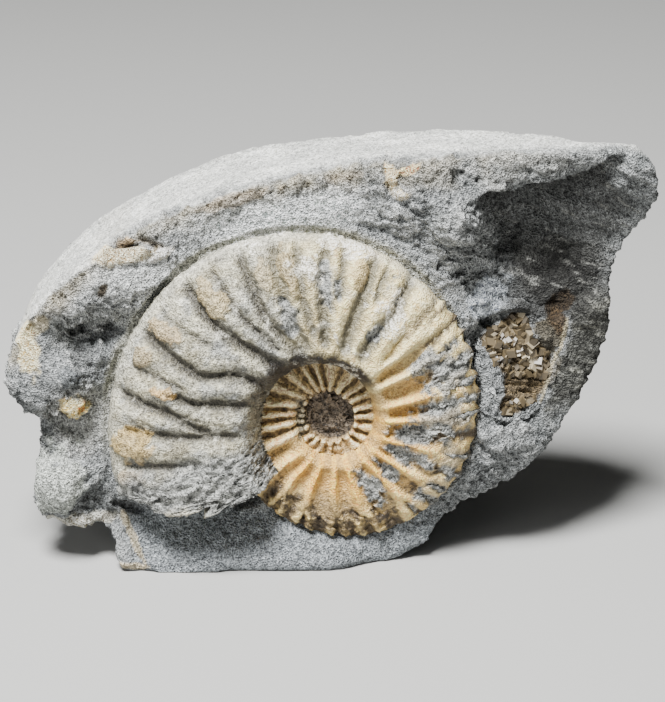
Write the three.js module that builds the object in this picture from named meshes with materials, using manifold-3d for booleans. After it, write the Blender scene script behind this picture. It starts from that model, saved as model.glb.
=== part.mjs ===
// Ammonite fossil in a broken limestone nodule, standing on its flat foot.
// Millimetres. The block is drawn as seen from the front: x to the right, y up from the
// surface it stands on, z towards the viewer. The last section stands it up with +Z up.
// x = 0, z = 0 is the ammonite's centre, and y = 0 is the foot.
import * as THREE from "three";
import { mergeVertices } from "three/addons/utils/BufferGeometryUtils.js";
import Module from "manifold-3d";

const wasm = await Module();
wasm.setup();

// Driving dimensions of the ammonite
const CENTRE_HEIGHT = 31; // umbilicus above the foot
const LEAN = THREE.MathUtils.degToRad(5); // the coil and the broken face lean back
const LEFT_RADIUS = 45.1; // centre to venter, level with the centre on the left
const STRETCH = 0.03; // the coil is drawn out a little by burial, along the next direction
const STRETCH_ANGLE = THREE.MathUtils.degToRad(115);
const EXPANSION = 2.21; // growth of the radius in one turn
const SEAM = 0.3; // umbilical seam, as a share of the whorl's outer radius
const HALF_BREADTH = 0.215; // flank above the coil's middle plane, as a share of that radius
const MOUTH_VENTER = THREE.MathUtils.degToRad(200); // the last whorl is broken off here, outside
const MOUTH_SEAM = THREE.MathUtils.degToRad(228); // and here at the umbilicus
const RIBS_INNER = 20; // ribs in a turn at the start of the last whorl
const RIBS_OUTER = 37; // ribs in a turn at the mouth
const RIB_HEIGHT = 0.034; // furrow to crest, as a share of the outer radius
const SHELL_GAP = 0.35; // between the shell and its print in the stone

// Driving dimensions of the stone
const BACK_DEPTH = 44; // middle plane of the coil to the back of the nodule
const EDGE_DEPTH = 12; // thickness left behind that plane at the nodule's rim
const FACE_CELL = 2.6; // facet size on the broken face
const CORTEX_CELL = 7; // facet size on the worn back

// Solids

function toSolid(geometry) {
  const bare = geometry.clone();
  bare.deleteAttribute("normal");
  bare.deleteAttribute("uv");
  const welded = mergeVertices(bare, 1e-4);
  return new wasm.Manifold(
    new wasm.Mesh({
      numProp: 3,
      vertProperties: new Float32Array(welded.attributes.position.array),
      triVerts: new Uint32Array(welded.index.array),
    }),
  );
}

function toGeometry(solid) {
  const { vertProperties, triVerts } = solid.getMesh();
  const geometry = new THREE.BufferGeometry();
  geometry.setAttribute("position", new THREE.BufferAttribute(vertProperties, 3));
  geometry.setIndex(new THREE.BufferAttribute(triVerts, 1));
  geometry.computeVertexNormals();
  return geometry;
}

// Moves every vertex of a geometry to where `place` sends it.
function reshape(geometry, place) {
  const points = geometry.attributes.position;
  const point = new THREE.Vector3();
  for (let i = 0; i < points.count; i++) {
    place(point.fromBufferAttribute(points, i), i);
    points.setXYZ(i, point.x, point.y, point.z);
  }
  return geometry;
}

const smooth = (from, to, value) => THREE.MathUtils.smoothstep(value, from, to);

// Ammonite: a disc whose front is the coil of whorls and whose back is a smooth print

const COLUMNS = 150; // around one turn
const GROWTH = Math.log(EXPANSION) / (2 * Math.PI);
const CORE = 0.45; // the filled-in first whorls, as a share of the seam's radius
const CORE_LEVEL = 1.2; // their floor above the middle plane
const BACK_SHARE = 0.6; // how far the hidden side bulges, against the front

function outerRadius(turn) {
  const drawnOut = 1 + STRETCH * Math.cos(2 * (turn - STRETCH_ANGLE));
  return LEFT_RADIUS * drawnOut * Math.exp(GROWTH * (turn - Math.PI));
}

// The disc's edge: the venter, and past the mouth the slanting break back to the turn before.
function edgeRadius(turn) {
  const past = Math.max(0, turn - MOUTH_VENTER) / (MOUTH_SEAM - MOUTH_VENTER);
  const before = outerRadius(turn - 2 * Math.PI);
  return THREE.MathUtils.lerp(outerRadius(turn), before, past ** 1.2);
}

// Whorl section from the umbilical seam (0) to the venter (1): a steep wall, then a flat flank.
function flank(across) {
  const wall = 0.25;
  if (across < wall) return Math.sqrt(1 - (1 - across / wall) ** 2);
  return (1 - Math.min(1, (across - wall) / (1 - wall)) ** 2.6) ** 0.5;
}

// Ribs lag on the flank and swing forward at the venter.
const growthLine = (across) => 0.1 * across ** 2 - 0.08 * Math.sin(Math.PI * across);

// Ribs crowd together as the shell grows, and fade at the seam and on the venter.
function ribHeight(turn, across) {
  const share = (turn - growthLine(across) - MOUTH_SEAM) / (2 * Math.PI) + 1;
  const count = RIBS_INNER * share + ((RIBS_OUTER - RIBS_INNER) * Math.max(0, share) ** 2) / 2;
  const strength = smooth(0, 0.3, across) * (1 - smooth(0.9, 1, across));
  return (RIB_HEIGHT * strength * (Math.cos(2 * Math.PI * count) - 1)) / 2;
}

function whorlHeight(turn, radius) {
  const outer = outerRadius(turn);
  const across = Math.max(0, (radius / outer - SEAM) / (1 - SEAM));
  return outer * (HALF_BREADTH * flank(across) + ribHeight(turn, across));
}

// Rings of the disc, from the centre of the front over the edge to the centre of the back.
const INNER_RINGS = [0, CORE, 0.5, 0.64, 0.82, 1]; // shares of the seam's radius
const OUTER_RINGS = [0.04, 0.14, 0.28, 0.44, 0.6, 0.76, 0.9, 1]; // from the seam to the edge
const BACK_RINGS = [0.7, 0]; // shares of the edge's radius, behind the middle plane

function discPoint(turn, ring, grow, target) {
  const edge = edgeRadius(turn);
  const seam = SEAM * outerRadius(turn);
  let radius;
  let height;
  if (ring < INNER_RINGS.length) {
    radius = seam * INNER_RINGS[ring];
    height = whorlHeight(turn - 2 * Math.PI, radius);
    if (INNER_RINGS[ring] <= CORE) height = CORE_LEVEL;
  } else if (ring < INNER_RINGS.length + OUTER_RINGS.length) {
    const share = OUTER_RINGS[ring - INNER_RINGS.length];
    radius = seam + (edge - seam) * share;
    height = share === 1 ? 0 : whorlHeight(turn, radius);
  } else {
    const share = BACK_RINGS[ring - INNER_RINGS.length - OUTER_RINGS.length];
    radius = edge * share;
    const depth = share === 0 ? 0.7 * LEFT_RADIUS : edge * Math.sqrt(1 - share ** 2);
    height = -BACK_SHARE * HALF_BREADTH * depth;
  }
  const wide = radius + (radius > 0 ? grow : 0);
  target.set(wide * Math.cos(turn), wide * Math.sin(turn), height);
}

function discGeometry(columns, rings, place) {
  const disc = new THREE.SphereGeometry(1, columns, rings - 1);
  return reshape(disc, (point, i) => {
    const ring = Math.floor(i / (columns + 1));
    const column = (i % (columns + 1)) % columns;
    const turn = MOUTH_SEAM - (2 * Math.PI * (columns - 1 - column)) / columns;
    place(turn, ring, point);
  });
}

function ammoniteGeometry() {
  const rings = INNER_RINGS.length + OUTER_RINGS.length + BACK_RINGS.length;
  return discGeometry(COLUMNS, rings, (turn, ring, point) => discPoint(turn, ring, 0, point));
}

// The print that the shell sits in: the disc's back grown by the gap, and open to the front.
function printGeometry() {
  const reach = 30; // well clear of the broken face
  const edgeRing = INNER_RINGS.length + OUTER_RINGS.length - 1;
  return discGeometry(COLUMNS / 3, 5, (turn, ring, point) => {
    discPoint(turn, edgeRing + Math.max(0, ring - 2), 2 * SHELL_GAP, point);
    if (ring === 0) point.set(0, 0, reach);
    else if (ring === 1) point.z = reach;
    else point.z -= 2 * SHELL_GAP;
  });
}

// Broken face: lumps and hollows left where flakes came away

const SWELLS = [
  { name: "upper left shoulder", x: -45, y: 58, rx: 24, ry: 13, turn: 0.5, lift: 5 },
  { name: "left cheek", x: -56, y: 38, rx: 15, ry: 11, turn: 0.3, lift: 6 },
  { name: "groove over the cheek", x: -47, y: 48.5, rx: 9, ry: 4, turn: 0.1, lift: -5 },
  { name: "left knob", x: -53, y: 17, rx: 10, ry: 11, turn: 0, lift: 6 },
  { name: "top right lump", x: 20, y: 76, rx: 18, ry: 9, turn: -0.4, lift: 3 },
  { name: "wing hollow", x: 46, y: 65, rx: 25, ry: 15, turn: 0.25, lift: -10 },
  { name: "wing pit", x: 45, y: 58, rx: 14, ry: 9, turn: 0.4, lift: -4 },
  { name: "right belly", x: 40, y: 24, rx: 18, ry: 16, turn: 0.8, lift: 2 },
];

// A lump dies out softly. A hollow is a flake scar, with a sharp rim.
function swellAt(x, y, swell) {
  const along = (x - swell.x) * Math.cos(swell.turn) + (y - swell.y) * Math.sin(swell.turn);
  const over = (y - swell.y) * Math.cos(swell.turn) - (x - swell.x) * Math.sin(swell.turn);
  const left = Math.max(0, 1 - (along / swell.rx) ** 2 - (over / swell.ry) ** 2);
  return swell.lift * (swell.lift > 0 ? left ** 1.5 : left);
}

function brokenFace(x, y) {
  const lean = -Math.tan(LEAN) * (y - CENTRE_HEIGHT);
  const fallsRight = -0.16 * Math.max(0, x - 22) * (1 - smooth(45, 75, y));
  const toe = 7 * (1 - smooth(0, 12, y)) * (1 - smooth(-8, 24, x)) * smooth(-60, -44, x);
  const lumps = SWELLS.reduce((sum, swell) => sum + swellAt(x, y, swell), 0);
  const rough = Math.sin(0.27 * x + 1.7 * Math.sin(0.19 * y));
  const grain = Math.sin(0.36 * y + 1.3 * Math.sin(0.23 * x + 2)) * (0.7 * rough + 0.5);
  return -1 + lean + fallsRight + toe + lumps + 0.8 * grain;
}

// Worn back: a dome, thick over the foot and thin towards the wing and the rim.
function wornBack(x, y) {
  const middle = -16;
  const acrossX = (x - middle) / (x > middle ? 135 : 52);
  const acrossY = (y - 12) / 83;
  const underWing = Math.max(0, 0.84 * x - 0.54 * (y - 40) - 18) / 34;
  const dome = Math.sqrt(Math.max(0, 1 - acrossX ** 2 - acrossY ** 2 - underWing ** 2));
  return -EDGE_DEPTH - (BACK_DEPTH - EDGE_DEPTH) * dome;
}

// A slab whose front (or back) face follows a height function.
function reliefSlab(cell, side, height) {
  const width = 144;
  const rise = 104;
  const reach = 90; // the slab's other face, clear of the block
  const slab = new THREE.BoxGeometry(
    width, rise, 2, Math.round(width / cell), Math.round(rise / cell), 1);
  return reshape(slab, (point) => {
    point.y += rise / 2 - 6;
    point.z = Math.sign(point.z) === side ? height(point.x, point.y) : -side * reach;
  });
}

// Outline of the block from the front, clockwise from the foot's left corner.
function blockOutline() {
  const shape = new THREE.Shape();
  shape.moveTo(-41.5, 0);
  shape.lineTo(-44.2, 6);
  shape.lineTo(-46, 8.2);
  shape.lineTo(-51.5, 7.8);
  shape.lineTo(-57.6, 9.6);
  shape.lineTo(-59.2, 13);
  shape.lineTo(-57.6, 29);
  shape.lineTo(-63.4, 36.5);
  shape.splineThru([
    new THREE.Vector2(-64, 40.5),
    new THREE.Vector2(-61, 49),
    new THREE.Vector2(-54, 58.5),
    new THREE.Vector2(-39.6, 68),
    new THREE.Vector2(-22, 75.6),
    new THREE.Vector2(-5, 79.6),
    new THREE.Vector2(12, 82.8),
  ]);
  shape.lineTo(54, 85);
  shape.splineThru([
    new THREE.Vector2(61.2, 83.8),
    new THREE.Vector2(65, 77.5),
    new THREE.Vector2(63.8, 71),
  ]);
  shape.lineTo(56.8, 58.5);
  shape.lineTo(56.4, 45);
  shape.lineTo(53.4, 37);
  shape.lineTo(43.4, 21.6);
  shape.lineTo(38.5, 17);
  shape.lineTo(25, 10.3);
  shape.lineTo(22, 7);
  shape.lineTo(20.6, 4);
  shape.lineTo(14, 0);
  return shape;
}

function blockSolid() {
  const depth = 120;
  const extruded = new THREE.ExtrudeGeometry(blockOutline(), {
    depth,
    steps: 1,
    curveSegments: 18,
    bevelEnabled: false,
  });
  extruded.translate(0, 0, -depth / 2);
  return toSolid(extruded)
    .intersect(toSolid(reliefSlab(FACE_CELL, 1, brokenFace)))
    .intersect(toSolid(reliefSlab(CORTEX_CELL, -1, wornBack)));
}

// Calcite crust: spar crystals lining a broken pocket right of the coil

const POCKET = { x: 37, y: 40.5, z: -7, rx: 9.4, ry: 12, rz: 6.5 };
const CRYSTAL_ROWS = [2, 3, 3, 3, 2]; // crystals in each row, bottom to top

function pocketGeometry(grow) {
  const ball = new THREE.SphereGeometry(1, 18, 10);
  ball.scale(POCKET.rx + grow, POCKET.ry + grow, POCKET.rz + grow);
  return ball.translate(POCKET.x, POCKET.y, POCKET.z);
}

function crystalGeometry(row, place, count) {
  const size = 3.4 + 0.9 * Math.sin(5 * row + 3 * place);
  const crystal = new THREE.BoxGeometry(size * 1.25, size, size * 1.1);
  const skew = 0.25; // calcite cleaves in leaning blocks, not in square ones
  reshape(crystal, (point) => {
    point.x += skew * point.y;
  });
  crystal.rotateZ(0.5 * Math.sin(7 * row + 2 * place));
  crystal.rotateX(0.4 * Math.sin(4 * row - 5 * place));
  const span = (row - (CRYSTAL_ROWS.length - 1) / 2) / CRYSTAL_ROWS.length;
  const x = POCKET.x + (place - (count - 1) / 2) * 4.6;
  return crystal.translate(x, POCKET.y + span * 20, POCKET.z - 1.6);
}

function crustSolid() {
  const floor = new THREE.BoxGeometry(40, 40, 20);
  floor.translate(POCKET.x, POCKET.y, POCKET.z - 12);
  let crust = toSolid(pocketGeometry(0)).intersect(toSolid(floor));
  CRYSTAL_ROWS.forEach((count, row) => {
    for (let place = 0; place < count; place++) {
      crust = crust.add(toSolid(crystalGeometry(row, place, count)));
    }
  });
  return crust.intersect(toSolid(pocketGeometry(0)));
}

// Nodes

const limestone = new THREE.MeshStandardMaterial({ color: 0x8f9394, roughness: 0.9, metalness: 0 });
const shellCalcite = new THREE.MeshStandardMaterial({ color: 0xc0ad86, roughness: 0.6, metalness: 0 });
const sparCalcite = new THREE.MeshStandardMaterial({ color: 0x9a866a, roughness: 0.35, metalness: 0 });

const ammonite = new THREE.Mesh(ammoniteGeometry(), shellCalcite);
ammonite.name = "ammonite";
ammonite.position.y = CENTRE_HEIGHT;
ammonite.rotation.x = -LEAN;
ammonite.updateMatrix();

const print = toSolid(printGeometry().applyMatrix4(ammonite.matrix));
const stone = blockSolid()
  .subtract(print)
  .subtract(toSolid(pocketGeometry(SHELL_GAP)));

const matrix = new THREE.Mesh(toGeometry(stone), limestone);
matrix.name = "matrix";

const crust = new THREE.Mesh(toGeometry(crustSolid()), sparCalcite);
crust.name = "calcite_crust";

const specimen = new THREE.Group();
specimen.add(matrix, ammonite, crust);
specimen.rotation.x = Math.PI / 2;

export default specimen;
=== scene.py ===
# An ammonite in a broken limestone nodule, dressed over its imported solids.
import math

import bmesh
import bpy
import numpy as np
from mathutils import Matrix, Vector, noise
from mathutils.bvhtree import BVHTree


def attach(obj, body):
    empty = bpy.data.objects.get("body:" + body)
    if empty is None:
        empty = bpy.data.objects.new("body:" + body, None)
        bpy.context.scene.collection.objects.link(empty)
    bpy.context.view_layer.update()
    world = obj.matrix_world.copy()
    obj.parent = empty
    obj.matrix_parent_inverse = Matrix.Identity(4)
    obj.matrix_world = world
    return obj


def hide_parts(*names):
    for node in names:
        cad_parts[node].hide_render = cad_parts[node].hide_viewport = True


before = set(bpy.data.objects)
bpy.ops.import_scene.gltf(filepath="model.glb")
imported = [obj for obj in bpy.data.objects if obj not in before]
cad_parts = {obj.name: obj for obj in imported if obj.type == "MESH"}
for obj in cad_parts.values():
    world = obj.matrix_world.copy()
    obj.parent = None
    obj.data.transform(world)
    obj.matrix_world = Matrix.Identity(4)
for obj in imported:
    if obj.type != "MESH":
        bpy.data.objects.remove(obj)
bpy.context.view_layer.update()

# Limestone nodule: one lump of fine grey limestone, worn smooth and pale on its top and back and
# split open in front. Its mesh is the solid with the shell's print filled in, remade as an even
# skin, and then roughened: hackly where it broke, softly pitted where it is worn.
SKIN_MM = 0.85  # even skin over the back and sides; half of this where it shows
LEAN = math.radians(5)  # the coil and the face lean back
COIL_MM = np.array([0.0, 31.0, 0.0])  # the coil's centre, seen from the front


def face_view(points):
    """Metres in the object's frame to millimetres seen from the front: right, up, nearer."""
    return np.stack([points[:, 0], points[:, 2], -points[:, 1]], axis=1) * 1000


def from_face_view(points):
    return np.stack([points[:, 0], -points[:, 2], points[:, 1]], axis=1) / 1000


def tipped(points, angle):
    across, up, out = points.T
    cos, sin = math.cos(angle), math.sin(angle)
    return np.stack([across, up * cos + out * sin, out * cos - up * sin], axis=1)


def leaned(points):
    """From the coil's own plane to the front view."""
    return tipped(points, LEAN) + COIL_MM


def in_threes(rows, field):
    flat = np.empty(len(rows) * 3)
    rows.foreach_get(field, flat)
    return flat.reshape(-1, 3)


def vertices_of(mesh):
    return in_threes(mesh.vertices, "co")


def set_vertices(mesh, points):
    mesh.vertices.foreach_set("co", points.ravel())
    mesh.update()


def normals_of(mesh):
    return in_threes(mesh.vertex_normals, "vector")


def relax(mesh, times):
    """Moves each vertex half way to the middle of its neighbours, over and over."""
    flat = np.empty(len(mesh.edges) * 2, dtype=np.int32)
    mesh.edges.foreach_get("vertices", flat)
    pairs = flat.reshape(-1, 2)
    points = vertices_of(mesh)
    count = np.bincount(pairs.ravel(), minlength=len(points))[:, None]
    for _ in range(times):
        total = np.zeros_like(points)
        for axis in range(3):
            total[:, axis] += np.bincount(pairs[:, 0], points[pairs[:, 1], axis], len(points))
            total[:, axis] += np.bincount(pairs[:, 1], points[pairs[:, 0], axis], len(points))
        points = 0.5 * points + 0.5 * total / count
    set_vertices(mesh, points)


def ramp(low, high, value):
    share = np.clip((value - low) / (high - low), 0, 1)
    return share * share * (3 - 2 * share)


def cloudy(points, size, octaves, seed):
    """Even-handed noise about zero, with features of that size in millimetres."""
    shift = Vector((seed * 17.3, seed * 5.1, seed * 9.7))
    return np.array([noise.fractal(Vector(p) / size + shift, 0.9, 2.1, octaves) for p in points])


def chipped(points, size, seed):
    """Small flat facets set at odd angles, as stone breaks."""
    shift = Vector((seed * 3.7, seed * 8.3, seed * 2.9))
    heights = []
    for p in points:
        place = Vector(p) / size + shift
        middle = noise.voronoi(place)[1][0]
        heights.append((place - middle).dot(noise.cell_vector(middle * 31.7)))
    return np.array(heights)


def spot(points, x, y, half_length, half_height, turn):
    """Distance from the middle of an oval mark, 1 at its rim."""
    angle = math.radians(turn)
    dx, dy = points[:, 0] - x, points[:, 1] - y
    along = dx * math.cos(angle) + dy * math.sin(angle)
    over = dy * math.cos(angle) - dx * math.sin(angle)
    return np.hypot(along / half_length, over / half_height)


def within(points, outline):
    """How far each point lies inside a many-sided outline, in millimetres; less than 0 outside."""
    corners = np.array(outline, dtype=float)
    inside = np.zeros(len(points), dtype=bool)
    nearest = np.full(len(points), np.inf)
    for start, end in zip(corners, np.roll(corners, -1, axis=0)):
        side = end - start
        share = np.clip(((points[:, :2] - start) @ side) / (side @ side), 0, 1)
        nearest = np.minimum(nearest, np.hypot(*(points[:, :2] - start - share[:, None] * side).T))
        crosses = (start[1] > points[:, 1]) != (end[1] > points[:, 1])
        height = np.where(crosses, points[:, 1] - start[1], 0) / (side[1] if side[1] else 1)
        inside ^= crosses & (points[:, 0] < start[0] + height * side[0])
    return np.where(inside, nearest, -nearest)


def evaluated(obj):
    """The object as its modifiers make it, as a plain mesh."""
    graph = bpy.context.evaluated_depsgraph_get()
    return bpy.data.meshes.new_from_object(obj.evaluated_get(graph))


def put_in_scene(name, data):
    obj = bpy.data.objects.new(name, data)
    bpy.context.scene.collection.objects.link(obj)
    return obj


def keep(mesh, **named):
    """Stores numbers, or colours, at the vertices for the material to read."""
    for name, values in named.items():
        kind, field = ("FLOAT_COLOR", "color") if values.ndim == 2 else ("FLOAT", "value")
        mesh.attributes.new(name, kind, "POINT").data.foreach_set(field, values.astype(np.float32).ravel())


def rgb(colour):
    """sRGB hex to the linear colour that shaders take."""
    parts = [int(colour[i : i + 2], 16) / 255 for i in (1, 3, 5)]
    return [c / 12.92 if c <= 0.04045 else ((c + 0.055) / 1.055) ** 2.4 for c in parts] + [1]


def over(tint, share, colour):
    """Lays a colour over what is there; the fourth number is how much of the stone it covers."""
    share = share[:, None]
    covered = 1 - (1 - tint[:, 3:]) * (1 - share)
    mixed = tint[:, :3] * (tint[:, 3:] * (1 - share)) + np.array(rgb(colour)[:3]) * share
    return np.hstack([mixed / np.maximum(covered, 1e-6), covered])


def layered(count, layers):
    """Lays shares of colours over one another, from the first to the last."""
    tint = np.zeros((count, 4))
    for share, colour in layers:
        tint = over(tint, share, colour)
    return tint


OVERFILL_MM = 1.3  # the plug reaches this far past the shell's print, so no slit is left
PLUG_TOP_MM = -0.4  # just under the coil's plane, and lower in the middle
shell_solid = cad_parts["ammonite"].data
plug = tipped(face_view(vertices_of(shell_solid)) - COIL_MM, -LEAN)
plug[:, :2] *= 1.0 + OVERFILL_MM / np.maximum(20, np.hypot(plug[:, 0], plug[:, 1]))[:, None]
plug_top = PLUG_TOP_MM - 3 * ramp(15, 10, np.hypot(plug[:, 0], plug[:, 1]))
plug[:, 2] = np.where(plug[:, 2] < -0.2, plug[:, 2] - 2, plug_top)
work = bmesh.new()
work.from_mesh(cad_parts["matrix"].data)
own = len(work.verts)
work.from_mesh(shell_solid)
pocket_from = len(work.verts)
work.from_mesh(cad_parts["calcite_crust"].data)
work.verts.ensure_lookup_table()
for vert, place in zip(work.verts[own:pocket_from], from_face_view(leaned(plug))):
    vert.co = place
POCKET, SWELL = Vector((0.037, 0.0085, 0.0405)), 1.12  # the crystals' hollow, filled level here
for vert in work.verts[pocket_from:]:
    vert.co = POCKET + (vert.co - POCKET) * SWELL
bmesh.ops.remove_doubles(work, verts=work.verts, dist=1e-6)
stone_copy = bpy.data.meshes.new("limestone")
work.to_mesh(stone_copy)
work.free()
nodule = put_in_scene("limestone_nodule", stone_copy)
skin = nodule.modifiers.new("even skin", "REMESH")
skin.mode = "VOXEL"
skin.voxel_size = SKIN_MM / 1000
nodule.data = evaluated(nodule)
nodule.modifiers.clear()
relax(nodule.data, 4)

# The shell hides part of the stone, so only what shows gets the finer skin.
shell_faces = [p.vertices for p in shell_solid.polygons]
shell_tree = BVHTree.FromPolygons([v.co for v in shell_solid.vertices], shell_faces)
work = bmesh.new()
work.from_mesh(nodule.data)
work.normal_update()
to_viewer = Vector((0, -0.93, 0.37))
showing = [
    f
    for f in work.faces
    if f.normal.dot(to_viewer) > -0.1
    and f.normal.z < 0.93
    and shell_tree.ray_cast(f.calc_center_median(), to_viewer)[0] is None
]
edges = list({e for f in showing for e in f.edges})
bmesh.ops.subdivide_edges(work, edges=edges, cuts=1, use_grid_fill=True)
bmesh.ops.triangulate(work, faces=[f for f in work.faces if len(f.verts) > 4])
work.to_mesh(nodule.data)
work.free()
relax(nodule.data, 1)

# Hollows that the solid cuts deeper than the stone's own are filled up to a level: under the
# wing, where its lip runs out, and round the crystals' bed.
BED = [(29.4, 46.4), (32.0, 47.3), (35.6, 49.2), (38.0, 49.9), (41.0, 48.8), (41.2, 45.6), (43.3, 43.4),
       (45.1, 42.6), (44.9, 37.6), (43.4, 34.6), (41.8, 32.3), (38.0, 31.0), (35.8, 30.2), (34.6, 32.2),
       (35.4, 35.3), (35.8, 38.3), (32.9, 41.4), (31.2, 44.4)]
WING_FILL, LIP_END_FILL, BED_FILL = 4, 5, 8  # millimetres at most
at = face_view(vertices_of(nodule.data))
x, y, z = at.T
front = ramp(-0.05, 0.3, face_view(normals_of(nodule.data))[:, 2] / 1000)
under_lip = front * ramp(26, 33, x) * ramp(48, 52, y) * ramp(81, 77, y)
wing_level = -9.5 - 3.5 * np.sin(math.pi * np.clip((y - 52) / 25, 0, 1))
lip_end_level = -6.8
bed_level = -4.1 - 0.27 * (x - 38) - 0.28 * (y - 40)
near_bed = ramp(-8, -6, within(at, BED)) * ramp(29, 30, x) * ramp(50.5, 48, y) * ramp(-15, -12, z)
lip_end = front * ramp(51, 54.5, x) * ramp(73, 78, y)
at[:, 2] += under_lip * np.clip(wing_level - z, 0, WING_FILL) + near_bed * np.clip(bed_level - z, 0, BED_FILL)
at[:, 2] += lip_end * np.clip(lip_end_level - at[:, 2], 0, LIP_END_FILL)
set_vertices(nodule.data, from_face_view(at))
relax(nodule.data, 2)
filled = vertices_of(nodule.data)
relax(nodule.data, 14)
set_vertices(nodule.data, filled + near_bed[:, None] * (vertices_of(nodule.data) - filled))

at = face_view(vertices_of(nodule.data))
facing = face_view(normals_of(nodule.data)) / 1000
x, y, z = at.T
front = ramp(-0.05, 0.3, facing[:, 2])
patchy = cloudy(at, 9, 3, 1)
ragged = cloudy(at, 2.2, 3, 8)
BROW = [(-62, 46), (-54, 58), (-40, 67.7), (-30.5, 72.3), (-22, 75.5), (-13.6, 77.8), (-5, 79.6),
        (0.5, 80.7), (12, 82.7), (23.7, 83.5), (33.5, 84), (53, 85), (66, 86)]  # top of the broken face
below_brow = np.interp(x, *np.array(BROW).T) - y
worn = ramp(0.5, -0.7, below_brow + 0.5 * ragged + 0.4 * patchy) * ramp(0.0, 0.25, facing[:, 1])
on_top = ramp(0.6, 0.8, facing[:, 1]) * ramp(-6, -11, z + ragged) * ramp(38, 44, y)
worn = np.maximum(worn, on_top * (1 - ramp(26, 30, x) * ramp(83, 80, y)))
worn = np.maximum(worn, ramp(0.05, -0.25, facing[:, 2])) * (1 - near_bed)
ledge = ramp(13, 9, y + 2 * patchy) * ramp(-43, -38, x) * ramp(30, 18, x) * (1 - worn)
broken = (1 - worn) * (1 - 0.75 * ledge)
to_shell = np.array([shell_tree.find_nearest(Vector(p))[3] for p in from_face_view(at)]) * 1000
calm = 0.25 + 0.75 * ramp(0.5, 5, to_shell)  # the stone hugs the shell
SMOOTH = [(-54.5, 17.5, 5.5, 7, 0), (-47, 27, 5, 7, 0), (-38, 60.5, 7, 3.5, 15), (-57, 44, 4, 8, 0),
          (-8, 72, 22, 4, 8)]
HACKLY = [(-47.5, 44, 8, 6, 0), (-46, 55, 7, 4, 30), (30, 70, 8, 6, 0)]
for place in SMOOTH:
    calm *= 1 - 0.7 * ramp(1.2, 0.7, spot(at, *place))
for place in HACKLY:
    calm *= 1 + 0.25 * ramp(1.2, 0.6, spot(at, *place))

# Steps in the broken face: a line across it, below which the stone falls back by some millimetres
# and then, over some more, returns.
LIP = [(26, 74.5), (29, 76), (31.8, 77), (36.2, 76.2), (41.6, 78.1), (46.6, 78.4), (50.5, 80), (53.2, 82.3),
       (56, 83.8), (60, 85)]
STEPS = [
    ("lip of the wing", 4.4, 13, LIP),
    ("second step under the wing", 2.0, 9,
     [(31, 62), (35, 65), (38.6, 67.4), (43, 67), (47, 64.4), (51, 62)]),
    ("crag at the left", 0.9, 6,
     [(-57, 46.5), (-54, 48), (-50, 49.4), (-47, 48.8), (-43, 49.4), (-40, 47.5)]),
    ("ridge over the crystals", 2.0, 6, [(26.5, 47.5), (30, 50), (34.6, 51), (41, 51.4), (44, 50)]),
    ("edge under the shell sliver", 0.4, 5, [(-50, 60), (-46, 63.2), (-40, 63.6), (-34, 63.4), (-29, 66)]),
    ("step above the shell", 0.25, 5,
     [(-30, 70), (-20, 73), (-10, 75.6), (0, 77.6), (8, 79.5), (14, 77), (20, 72), (26, 68)]),
    ("break under the left bulge", 2.0, 7, [(-61, 34.5), (-57, 33), (-54, 31.4), (-51, 30.4), (-48.5, 29.5)]),
    ("crease over the round knob", 1.2, 4, [(-59, 25.5), (-55, 24.8), (-51, 24.4), (-48, 22)]),
    ("fold at the lower left", 1.8, 7, [(-46, 10.6), (-43, 11.6), (-40.4, 8.5), (-38, 4), (-36, 0)]),
]
lift = front * 3.0 * ramp(1.3, 0.2, spot(at, 27, 66, 8, 10, 0))
lift += front * 1.3 * ramp(1.3, 0.3, spot(at, -45.5, 46, 6, 3.5, 10))
for name, drop, fade, line in STEPS:
    line_x, line_y = np.array(line).T
    below = np.interp(x, line_x, line_y) - y + (0.15 if "wing" in name else 0.45) * ragged
    taper = min(8, 0.25 * (line_x[-1] - line_x[0]))
    ends = ramp(line_x[0], line_x[0] + taper, x) * ramp(line_x[-1], line_x[-1] - taper, x)
    lift -= front * ends * drop * ramp(-0.1, 0.7, below) * ramp(fade, 1.0, below)

bedded = np.stack([x * 0.28 + y * 0.06, y * 1.3 + x * 0.28, z], axis=1)  # the beds dip to the right
wing = ramp(24, 34, x) * ramp(47, 53, y)
coarse = 0.7 * cloudy(at, 8, 3, 2) + 0.9 * chipped(at, 6, 3) + 0.9 * chipped(at, 3.2, 4)
coarse = coarse * (1 - 0.55 * wing) + wing * 0.9 * cloudy(bedded, 2.6, 4, 19)
calm *= 1 - 0.45 * ramp(30, 40, x)  # the right side parted along its beds
fine = 0.36 * cloudy(at, 1.5, 3, 5) + 0.5 * chipped(at, 1.7, 9)
soft = 0.6 * cloudy(at, 16, 3, 6) + 0.1 * cloudy(at, 2.2, 3, 7) - 0.5 * ramp(0.3, 0.7, cloudy(at, 4, 2, 23))
rough = broken * (coarse * calm + fine * (0.4 + 0.6 * np.minimum(calm, 1)))
rough += (1 - broken) * (soft + 0.5 * ledge * fine)
lift += rough - front * 0.9 * ramp(1.3, 0.4, to_shell) * ramp(14, 20, y) * ramp(34, 24, x)

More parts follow.
